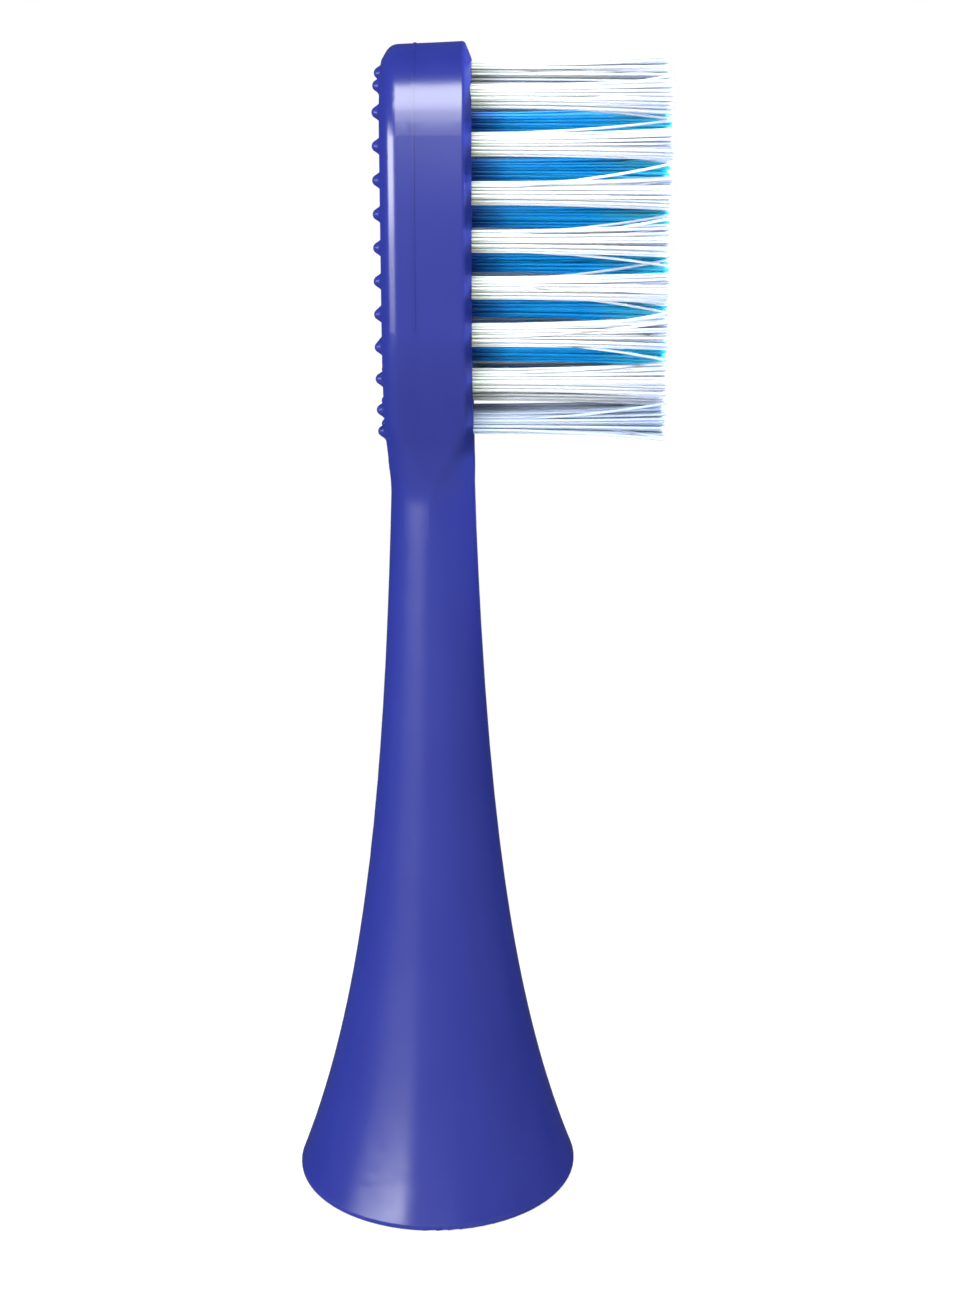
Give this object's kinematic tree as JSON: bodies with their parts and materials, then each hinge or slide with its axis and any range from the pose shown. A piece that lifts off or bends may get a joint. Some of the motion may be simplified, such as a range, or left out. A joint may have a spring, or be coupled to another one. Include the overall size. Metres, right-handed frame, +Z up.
{
  "type": "electric toothbrush head",
  "caption": "Replacement head for an electric toothbrush: hollow flared plastic stem that pushes onto a drive shaft, flat-trimmed white and blue nylon tufts, nubbed tongue-cleaner back.",
  "frame": {"origin": "centre of the flat rim of the bell, on the plane that it stands on", "axes": "+Z up the stem from the rim to the tip of the head, +X the way the bristles point"},
  "size_m": [0.0216, 0.017, 0.0667],
  "materials": {
    "body_plastic": "satin",
    "white_nylon": "satin",
    "blue_nylon": "satin",
    "anchor_metal": "satin"
  },
  "bodies": {
    "root": {"blue_tuft_left_1": "blue_nylon", "blue_tuft_left_2": "blue_nylon", "blue_tuft_left_3": "blue_nylon", "blue_tuft_left_4": "blue_nylon", "blue_tuft_left_5": "blue_nylon", "blue_tuft_left_6": "blue_nylon", "blue_tuft_right_1": "blue_nylon", "blue_tuft_right_2": "blue_nylon", "blue_tuft_right_3": "blue_nylon", "blue_tuft_right_4": "blue_nylon", "blue_tuft_right_5": "blue_nylon", "blue_tuft_right_6": "blue_nylon", "brush_body": "body_plastic", "heel_tuft_left": "white_nylon", "heel_tuft_middle": "white_nylon", "heel_tuft_right": "white_nylon", "tip_tuft_left": "white_nylon", "tip_tuft_right": "white_nylon", "tuft_anchors": "anchor_metal", "white_tuft_left_1": "white_nylon", "white_tuft_left_2": "white_nylon", "white_tuft_left_3": "white_nylon", "white_tuft_left_4": "white_nylon", "white_tuft_left_5": "white_nylon", "white_tuft_left_6": "white_nylon", "white_tuft_left_7": "white_nylon", "white_tuft_left_8": "white_nylon", "white_tuft_right_1": "white_nylon", "white_tuft_right_2": "white_nylon", "white_tuft_right_3": "white_nylon", "white_tuft_right_4": "white_nylon", "white_tuft_right_5": "white_nylon", "white_tuft_right_6": "white_nylon", "white_tuft_right_7": "white_nylon", "white_tuft_right_8": "white_nylon"}
  },
  "joints": []
}
